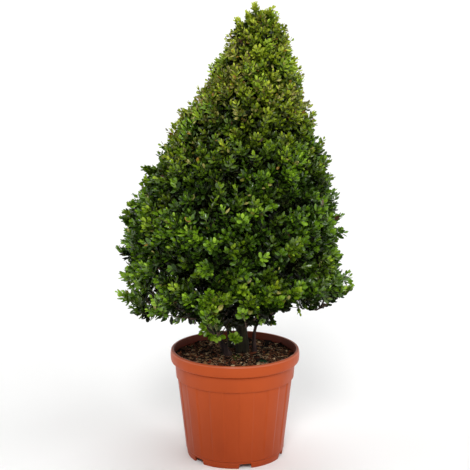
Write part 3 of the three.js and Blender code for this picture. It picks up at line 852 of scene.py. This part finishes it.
GROWTH = Named(boughs=86, sprays=540, inner=1700, shoots=4800)
DEPTH = Named(
    bough=88, spray=54, shoot=4, between_sprays=14, hollows=15, uneven=14, spray_uneven=7,
    limits=(-12, 40), top=11, top_heights=(925, 960),
)
HOLLOW = Named(size=54, seed=243, fade_over=(680, 840), least=0.35, deepest=1.4)
INNER_SHARE = (0.12, 0.72)
INNER_JITTER = 8
OUTSTANDING = Named(share=0.06, reach=25, up_to=900)
SPRAY_REACH = 21
OUTWARD_SPREAD = 0.3
RISE = 0.5
CURVE = Named(bough=0.4, twig=0.5, low=0.4, flattened=0.45, crooked=0.05)

# Foot and tip radius, sides and rings of each kind of wood.
WOOD = {
    "stem": (5, 3.6, 8, 12),
    "bough": (3.4, 1.9, 6, 9),
    "spray": (1.8, 1.0, 4, 6),
    "inner": (1.2, 0.6, 3, 5),
    "shoot": (0.9, 0.45, 3, 5),
    "low_stalk": (2.6, 1.2, 6, 12),
    "low_shoot": (1.1, 0.6, 4, 6),
}

# The skirt is looser than the rest: below these heights a share of the growth is left out or bare, less
# of it near the trunk and more of it far away.
LOOSE_BELOW = (350, 435)
LOOSENESS = Named(
    sprays=0.28, shoots=0.32, inner=0.8, leaves=0.3, away=(90, 220), weights=(0.6, 1.5),
)

# How light leaves are: 0 is the darkest green and 1 nearly the lightest. Spots and bands differ. Painted
# shade darkens leaves with their depth under the surface and on the inner twigs, and painted light makes
# them lighter towards the top and at both ends of the hem, most of all the left one. Then how many are
# yellowed and how warm greens are.
LIGHTNESS = Named(
    young=0.80, upper=0.27, upper_heights=(600, 860), top=0.22, top_heights=(900, 965),
    per_depth=0.021, spots=0.06, spot_size=90, by_spray=0.05, by_shoot=0.06,
    per_pair=0.105, by_leaf=0.095, old_outer=0.62, old_inner=0.4, by_old_twig=0.08,
)
HEM_LIGHT = Named(heights=(380, 440), aside=(60, 160), lightness=0.2, to_left=0.0003)
TINGE = Named(least=0.02, upper=0.52, heights=(600, 880), patch_size=80, patch_edges=(-0.6, 0.6))
WARM = Named(least=0.18, upper=0.66, heights=(480, 850), spots=0.15, spot_size=70, by_spray=0.16)

# Half a leaf's outline from its foot, as shares of its length: along, aside and raised. The rest mirrors it
# round a middle point.
LEAF_LENGTH = 15.8
LEAF_HALF = [(0.2, 0.16, -0.05), (0.54, 0.26, -0.11), (0.86, 0.16, -0.11)]
LEAF_MIRRORED = [(along, -aside, raised) for along, aside, raised in LEAF_HALF[::-1]]
LEAF_SHAPE = np.array([(0, 0, 0), *LEAF_HALF, (1, 0, -0.06), *LEAF_MIRRORED, (0.5, 0, 0.05)])
LEAF_FACES = np.array([(i, 8, (i + 1) % 8) for i in range(8)])

# Opposite pairs of leaves down a shoot: how far below its end, how far open, and how big.
YOUNG_PAIRS = 6
PAIR = Named(
    first=1.5, gap=6.3, uneven=0.25, off_twig=0.6, sizes=(0.82, 1.14), roll=0.18, opening=0.14,
    twist=0.32, young_cup=-0.6,
)
PAIR_OPENING = np.radians([18, 31, 40, 47, 53, 58, 64, 70, 75])
PAIR_SIZE = np.array([0.6, 0.85, 1.0, 1.06, 1.06, 1.02, 1.0, 0.98, 0.95])
OLD_LEAVES = Named(scale=1.15, pairs=5, first_pair=3, up_to=930, tinge=0.04, warmth=0.5)
CLEARANCE = Named(leaf=3, low_leaf=1, soil=3)


def bezier(level, share):
    """Points and directions on a level's quadratic curves: share is (count, steps)."""
    s = share[..., None]
    start, bend, end = (level[key][:, None] for key in ("start", "bend", "end"))
    place = (1 - s) ** 2 * start + 2 * s * (1 - s) * bend + s**2 * end
    heading = unit((1 - s) * (bend - start) + s * (end - bend))
    return place, heading


def outward_at(points, facing, centres):
    """The way shoots grow: out from the surface, away from the heart of the mass, and somewhat upwards."""
    straight = unit(lerp(facing, unit(points - centres), OUTWARD_SPREAD))
    return unit(straight + (0, 0, RISE))


def distances(points, others):
    return np.linalg.norm(points[:, None] - others[None], axis=-1)


def leaf_meshes(leaf, width=1):
    """Leaves as fans of eight faces, cupped upwards or downwards."""
    along, facing = leaf["along"], leaf["facing"]
    across = np.cross(along, facing)
    forward, sideways, raised = LEAF_SHAPE.T
    shape = (
        forward[None, :, None] * along[:, None]
        + width * sideways[None, :, None] * across[:, None]
        + (raised[None] * leaf["cup"][:, None])[..., None] * facing[:, None]
    )
    points = leaf["foot"][:, None] + leaf["length"][:, None, None] * shape
    faces = LEAF_FACES[None] + len(LEAF_SHAPE) * np.arange(len(along))[:, None, None]
    return points.reshape(-1, 3), faces.reshape(-1, 3)


def leaves_on(level, pairs, rng, first=0):
    """Leaves in pairs down each shoot, each pair square to the last. Returns flat arrays, one row a leaf."""
    count = len(level["span"])
    scale = level["scale"][:, None]
    uneven = rng.uniform(-PAIR.uneven, PAIR.uneven, (count, pairs))
    below = PAIR.first + PAIR.gap * (np.arange(pairs) + uneven) * scale
    share = np.clip(1 - below / level["span"][:, None], 0.02, 1)
    place, heading = bezier(level, share)
    aside = unit(np.cross(heading, (0.13, -0.21, 0.97)))
    third = np.cross(heading, aside)
    order = np.arange(pairs) + first
    roll = rng.uniform(0, math.pi, (count, 1)) + order * math.pi / 2
    roll = roll[..., None] + (0, math.pi) + rng.normal(0, PAIR.roll, (count, pairs, 2))
    out = np.cos(roll)[..., None] * aside[:, :, None] + np.sin(roll)[..., None] * third[:, :, None]
    open_by = (PAIR_OPENING[order][:, None] + rng.normal(0, PAIR.opening, roll.shape))[..., None]
    blade = heading[:, :, None] * np.cos(open_by) + out * np.sin(open_by)
    facing = heading[:, :, None] * np.sin(open_by) - out * np.cos(open_by)
    twist = rng.normal(0, PAIR.twist, roll.shape)[..., None]
    facing = facing * np.cos(twist) + np.cross(blade, facing) * np.sin(twist)
    size = PAIR_SIZE[order][:, None] * rng.uniform(*PAIR.sizes, roll.shape)
    lightness = level["tone"][:, None, None] - LIGHTNESS.per_pair * order[:, None]
    leaf = {
        "foot": (place[:, :, None] + out * PAIR.off_twig).reshape(-1, 3),
        "along": blade.reshape(-1, 3),
        "facing": facing.reshape(-1, 3),
        "length": (LEAF_LENGTH * size * scale[..., None]).reshape(-1),
        "cup": np.broadcast_to(np.where(order < 2, PAIR.young_cup, 1)[:, None], roll.shape).reshape(-1),
        "lightness": (lightness + rng.normal(0, LIGHTNESS.by_leaf, roll.shape)).reshape(-1),
    }
    for key in ("mass", "tinge", "warmth"):
        leaf[key] = np.repeat(np.broadcast_to(level[key], count), pairs * 2)
    return leaf


def tips_of(leaf):
    return leaf["foot"] + leaf["along"] * leaf["length"][:, None]


def hem_painted_light(points):
    """How much lighter leaves are painted for their place in the hem: painted light at both ends, most at
    the left.
    """
    low = 1 - smoothstep(points[:, 2], *HEM_LIGHT.heights)
    aside = smoothstep(np.abs(points[:, 0]), *HEM_LIGHT.aside)
    return low * aside * (HEM_LIGHT.lightness - HEM_LIGHT.to_left * points[:, 0])


def tint_of(leaf, rng):
    """A tint for each leaf: a green by its lightness and warmth, or a yellowed or dry one."""
    tone = np.clip((leaf["lightness"] * TONE_STEPS).astype(int), 0, len(TONES) - 1)
    family = np.clip((leaf["warmth"] * len(WARMTH)).astype(int), 0, len(WARMTH) - 1)
    tint = family * len(TONES) + tone
    luck = np.where(tone >= TINGED_FROM, rng.uniform(0, 1, len(tint)), 1)
    for tinged, share in TINGED_SHARES.items():
        tint = np.where(luck < share * leaf["tinge"], tinged, tint)
    return np.where(rng.uniform(0, 1, len(tint)) > 1 - DRY_SHARE, DRY, tint)


def near_limbs(points, margin):
    """True for points in a limb or within a margin of its bark."""
    close = np.zeros(len(points), bool)
    for limb in LIMBS.values():
        for centre, radius in zip(limb.curve[::5], limb.radii[::5]):
            close |= np.linalg.norm(points - centre, axis=1) < radius + margin
    return close


def grow_level(count, depth, parents=None, tuft_shoots=1):
    """One level of growth: ends under the surface, the ways they face, their masses and their parents."""
    points, facing = crown_targets(count, tuft_shoots)
    centres = np.array(list(MASSES.values()))
    mass = np.argmin(distances(points, centres), axis=1)
    outward = outward_at(points, facing, centres[mass])
    end = points - outward * (depth * size_at(points[:, 2]))[:, None]
    level = {"target": points, "out": outward, "mass": mass, "end": end}
    if parents is None:
        return level | {"start": centres[mass]}
    gap = distances(points, parents["target"])
    gap += np.where(mass[:, None] == parents["mass"][None], 0, 1e4)
    parent = np.argmin(gap, axis=1)
    return level | {"start": parents["end"][parent], "parent": parent}


def chosen(level, keep):
    return {key: values[keep] for key, values in level.items()}


def spared(points, share, rng):
    """True for what stays when a share of the skirt is left out, most of it far from the trunk."""
    low = 1 - smoothstep(points[:, 2], *LOOSE_BELOW)
    far = smoothstep(np.linalg.norm(points[:, :2], axis=1), *LOOSENESS.away)
    return rng.uniform(0, 1, len(points)) > share * low * lerp(*LOOSENESS.weights, far)


def grow_inner(boughs, rng):
    """Twigs inside the crown, which bear the old leaves."""
    inner = grow_level(GROWTH.inner, 0, boughs)
    out_share = rng.uniform(*INNER_SHARE, len(inner["end"]))[:, None]
    inner["end"] = lerp(trunk_at(inner["target"][:, 2]), inner["target"], out_share)
    inner["end"] += rng.normal(0, INNER_JITTER, inner["end"].shape)
    stays = spared(inner["end"], LOOSENESS.inner, rng) & (inner["end"][:, 2] < OLD_LEAVES.up_to)
    return chosen(inner, stays)


def grow_shoots(sprays, leafy, rng):
    """Young shoots with their tone, tinge and warmth, on the leafy sprays and in the tufts."""
    shoots = grow_level(GROWTH.shoots, 0, sprays, TUFT.shoots)
    target, parent = shoots["target"], shoots["parent"]
    from_spray = np.min(distances(target, sprays["target"]), axis=1)
    count, height = len(target), target[:, 2]
    scale = size_at(height)

    hollow = noise_at(target, HOLLOW.size, HOLLOW.seed)
    hollow *= lerp(1, HOLLOW.least, smoothstep(height, *HOLLOW.fade_over))
    spray_offset = rng.normal(0, DEPTH.spray_uneven, len(sprays["target"]))
    depth = (
        DEPTH.shoot
        + DEPTH.between_sprays * (from_spray / (SPRAY_REACH * scale)) ** 2
        + DEPTH.hollows * np.clip(hollow, 0, HOLLOW.deepest)
        + spray_offset[parent]
        + rng.uniform(-0.5, 0.5, count) * DEPTH.uneven
    )
    outstanding = (rng.uniform(0, 1, count) < OUTSTANDING.share) & (height < OUTSTANDING.up_to)
    depth = np.clip(depth - OUTSTANDING.reach * outstanding, *DEPTH.limits) * scale
    depth += DEPTH.top * smoothstep(height, *DEPTH.top_heights)
    in_tuft = np.arange(count) < len(TUFTS) * TUFT.shoots
    depth = np.where(in_tuft, rng.uniform(*TUFT.depth, count), depth)
    shoots["end"] = target - shoots["out"] * depth[:, None]

    hanging = in_tuft & (height < TUFT.hangs_below)
    in_front = in_tuft & (target[:, 1] < TUFT.front_from)
    shoots["scale"] = scale
    shoots["tone"] = (
        LIGHTNESS.young
        # Painted light from above: lighter towards the top.
        + LIGHTNESS.upper * smoothstep(height, *LIGHTNESS.upper_heights)
        + LIGHTNESS.top * smoothstep(height, *LIGHTNESS.top_heights)
        # Painted shade: darker the deeper the shoot ends under the surface.
        - LIGHTNESS.per_depth * np.maximum(depth, 0)
        + LIGHTNESS.spots * noise_at(target, LIGHTNESS.spot_size, 5)
        + rng.normal(0, LIGHTNESS.by_spray, len(sprays["target"]))[parent]
        + rng.normal(0, LIGHTNESS.by_shoot, count)
        # Painted shade: darker for the tufts that hang under the crown.
        + TUFT.hanging_tone * hanging
        # Painted light: lighter for the tufts at the front.
        + TUFT.front_tone * in_front
    )
    patches = smoothstep(noise_at(target, TINGE.patch_size, 6), *TINGE.patch_edges)
    shoots["tinge"] = TINGE.least + TINGE.upper * smoothstep(height, *TINGE.heights) * patches
    spots = WARM.spots * noise_at(target, WARM.spot_size, 8)
    drift = rng.normal(0, WARM.by_spray, len(sprays["target"]))[parent]
    shoots["warmth"] = WARM.least + WARM.upper * smoothstep(height, *WARM.heights) + spots + drift
    stays = leafy[parent] & spared(shoots["end"], LOOSENESS.shoots, rng)
    return chosen(shoots, stays | in_tuft)


def bent(level, straightness, rng):
    """A level with its curves, which leave their parents outwards and bend to their ends."""
    start, end = level["start"], level["end"]
    span = np.linalg.norm(end - start, axis=1)
    bend = start + level["out"] * (straightness * span)[:, None]
    bend = lerp(bend, (start + end) / 2, CURVE.flattened)
    bend += rng.normal(0, CURVE.crooked, start.shape) * span[:, None]
    bend[:, 2] = np.maximum(bend[:, 2], np.minimum(start[:, 2], end[:, 2]))
    return level | {"bend": bend, "span": span}


def grow_crown(rng):
    """The boughs, the sprays that bear shoots, the inner twigs and the shoots."""
    boughs = grow_level(GROWTH.boughs, DEPTH.bough)
    sprays = grow_level(GROWTH.sprays, DEPTH.spray, boughs)
    leafy = spared(sprays["end"], LOOSENESS.sprays, rng)
    inner = grow_inner(boughs, rng)
    shoots = grow_shoots(sprays, leafy, rng)
    bearing = np.isin(np.arange(len(sprays["end"])), shoots["parent"])
    levels = {"bough": boughs, "spray": chosen(sprays, bearing), "inner": inner, "shoot": shoots}
    return {
        kind: bent(level, CURVE.bough if kind == "bough" else CURVE.twig, rng)
        for kind, level in levels.items()
    }


def tubes_on(level, kind):
    foot_radius, tip_radius, sides, steps = WOOD[kind]
    share = np.tile(np.linspace(0, 1, steps), (len(level["start"]), 1))
    return tubes(bezier(level, share)[0], lerp(foot_radius, tip_radius, share), sides)


def old_leaves(level, lightness, rng):
    """The larger, darker leaves inside the crown."""
    looks = {
        "scale": OLD_LEAVES.scale * size_at(level["target"][:, 2]),
        "tone": lightness + rng.normal(0, LIGHTNESS.by_old_twig, len(level["span"])),
        "tinge": OLD_LEAVES.tinge,
        "warmth": OLD_LEAVES.warmth,
    }
    return leaves_on(level | looks, OLD_LEAVES.pairs, rng, OLD_LEAVES.first_pair)


def crown_leaves(levels, rng):
    """All the leaves of the crown that stay after clipping and loosening, with their tints."""
    young = leaves_on(levels["shoot"], YOUNG_PAIRS, rng)
    outer = old_leaves(levels["spray"], LIGHTNESS.old_outer, rng)
    # Painted shade: the old leaves on the inner twigs are darker than those on the sprays.
    inner = old_leaves(levels["inner"], LIGHTNESS.old_inner, rng)
    leaf = {key: np.concatenate([group[key] for group in (young, outer, inner)]) for key in young}
    # Painted light on both ends of the hem.
    leaf["lightness"] += hem_painted_light(leaf["foot"])
    tip = tips_of(leaf)
    is_young = np.arange(len(tip)) < len(young["foot"])
    keep = inside_crown(tip) & ~near_limbs(leaf["foot"], CLEARANCE.leaf)
    keep &= is_young | (tip[:, 2] < OLD_LEAVES.up_to)
    keep &= spared(tip, LOOSENESS.leaves, rng)
    leaf["tint"] = tint_of(leaf, rng)
    return chosen(leaf, keep)


def make_leaves(name, leaf, width=1):
    shape = *leaf_meshes(leaf, width), np.repeat(leaf["tint"], len(LEAF_FACES))
    make_piece(name + "_leaves", shape, LEAVES, name)


def make_foliage():
    rng = np.random.default_rng(7)
    levels = grow_crown(rng)
    leaf = crown_leaves(levels, rng)
    for index, (name, centre) in enumerate(MASSES.items()):
        make_leaves(name, chosen(leaf, leaf["mass"] == index))
        foot = stem_foot(name)
        bend = lerp(foot, centre, STEM.bend_at) - (0, 0, STEM.sag)
        stem = {"start": foot[None], "bend": bend[None], "end": centre[None]}
        own = {kind: chosen(level, level["mass"] == index) for kind, level in levels.items()}
        wood = [tubes_on(level, kind) for kind, level in ({"stem": stem} | own).items()]
        points, faces = joined(wood)
        green = len(wood[-1][1])
        tints = np.repeat([0, 1], [len(faces) - green, green])
        make_piece(name + "_twigs", (points, faces, tints), [TWIG_BARK, SHOOT_BARK], name)


# Two low sprays of young leaves stand under the crown, just above the soil. Each is a stalk from a limb with
# short shoots along it, and each shoot ends in a rosette that faces the light.

LOW_SPRAYS = {
    "foliage_low_left": Named(
        limb="stem_left", at=0.42, bend=(-56, -66, 268), top=(-44, -96, 366),
        leafy_from=0.28, rosettes=26, reach=18, leaf_scale=0.93, seed=41,
    ),
    "foliage_low_front": Named(
        limb="trunk", at=0.05, bend=(8, -34, 256), top=(1, -50, 272),
        leafy_from=0.85, rosettes=7, reach=10, leaf_scale=0.75, seed=42,
    ),
}
# The low sprays' tone lifts their leaves to the lightest greens: painted light, as they stand in the crown's
# shade.
LOW = Named(
    pairs=3, first_pair=1, leaf_width=1.45, tone=1.03, uneven_tone=0.07, warmth=0.3,
    side_turn=50, rise=(-10, 40), reach=(0.6, 1.3),
)


def make_low_spray(name, spray):
    rng = np.random.default_rng(spray.seed)
    limb = LIMBS[spray.limb].curve
    foot = limb[round(spray.at * (len(limb) - 1))]
    stalk = {"start": foot[None], "bend": np.array([spray.bend], float), "end": np.array([spray.top], float)}
    count = spray.rosettes
    start = bezier(stalk, np.linspace(spray.leafy_from, 1, count)[None])[0][0]
    turn = np.radians(LOW.side_turn) * rng.normal(0, 1, count)
    rise = np.radians(rng.uniform(*LOW.rise, count))
    out = np.column_stack([np.sin(turn) * np.cos(rise), -np.cos(turn) * np.cos(rise), np.sin(rise)])
    reach = spray.reach * rng.uniform(*LOW.reach, (count, 1))
    shoots = bent({"start": start, "end": start + reach * out, "out": out}, CURVE.low, rng)
    shoots["scale"] = np.full(count, spray.leaf_scale)
    shoots["tone"] = LOW.tone + rng.normal(0, LOW.uneven_tone, count)
    shoots |= {"mass": 0, "tinge": 0, "warmth": LOW.warmth}
    leaf = leaves_on(shoots, LOW.pairs, rng, LOW.first_pair)
    leaf["tint"] = tint_of(leaf, rng)
    tip = tips_of(leaf)
    clear = (tip[:, 2] > ON_SOIL + CLEARANCE.soil) & ~near_limbs(tip, CLEARANCE.low_leaf)
    make_leaves(name, chosen(leaf, clear), LOW.leaf_width)
    wood = joined([tubes_on(stalk, "low_stalk"), tubes_on(shoots, "low_shoot")])
    make_piece(name + "_twigs", wood, [SHOOT_BARK], name)


# Camera, light and floor, in metres.

CAMERA = Named(distance=2.45, height=0.965, down=11.09, lens=90, sensor=36)
FLOOR = Named(radius=50, level=9, rise=13, rings=60, segments=96)
WORLD_STRENGTH = 0.28

# Each light's azimuth, elevation and softness in degrees, and its strength. Azimuth 0 is at the camera and
# 90 at the right.
LIGHTS = {
    "key": (-4, 40, 16, 1.38),
    "fill": (60, 36, 60, 1.25),
    "front": (-6, 5, 36, 0.68),
    "top": (170, 68, 36, 0.9),
    "edge": (-90, 12, 40, 0.76),
}


def make_camera():
    camera = add_object("camera", bpy.data.cameras.new("camera"))
    camera.data.lens = CAMERA.lens
    camera.data.sensor_width = CAMERA.sensor
    camera.location = (0, -CAMERA.distance, CAMERA.height)
    camera.rotation_euler = (math.radians(90 - CAMERA.down), 0, 0)
    bpy.context.scene.camera = camera


def make_light(name, azimuth, elevation, softness, strength):
    """A large soft light, far away."""
    light = add_object(name, bpy.data.lights.new(name, "SUN"))
    light.data.angle = math.radians(softness)
    light.data.energy = strength
    light.rotation_euler = (math.radians(90 - elevation), 0, math.radians(azimuth))


def make_floor():
    """A pale floor, level round the pot and rising far away."""
    look = Look("floor", (0.93, 0.93, 0.93), 0.8)
    look.ramp(look.noise(0.6, 2), [(0.3, (0.92, 0.92, 0.915)), (0.7, (0.94, 0.94, 0.935))])
    radius = np.linspace(0.01, FLOOR.radius, FLOOR.rings)[:, None]
    height = FLOOR.rise * np.maximum(0, (radius - FLOOR.level) / (FLOOR.radius - FLOOR.level)) ** 2
    points = on_rings(radius, angles(FLOOR.segments), height).reshape(-1, 3)
    faces = capped_grid(FLOOR.rings, FLOOR.segments)
    floor = add_object("floor", smooth_mesh("floor", points, faces, [look]))


def make_studio():
    world = bpy.data.worlds.new("studio")
    world.use_nodes = True
    background = world.node_tree.nodes["Background"].inputs
    background["Color"].default_value = (1, 1, 1, 1)
    background["Strength"].default_value = WORLD_STRENGTH
    bpy.context.scene.world = world
    bpy.context.scene.view_settings.view_transform = "Standard"
    for name, light in LIGHTS.items():
        make_light(name, *light)
    make_floor()


make_camera()
make_studio()
make_pot()
make_soil()
for name, limb in LIMBS.items():
    make_limb(name, limb)
make_foliage()
for name, spray in LOW_SPRAYS.items():
    make_low_spray(name, spray)
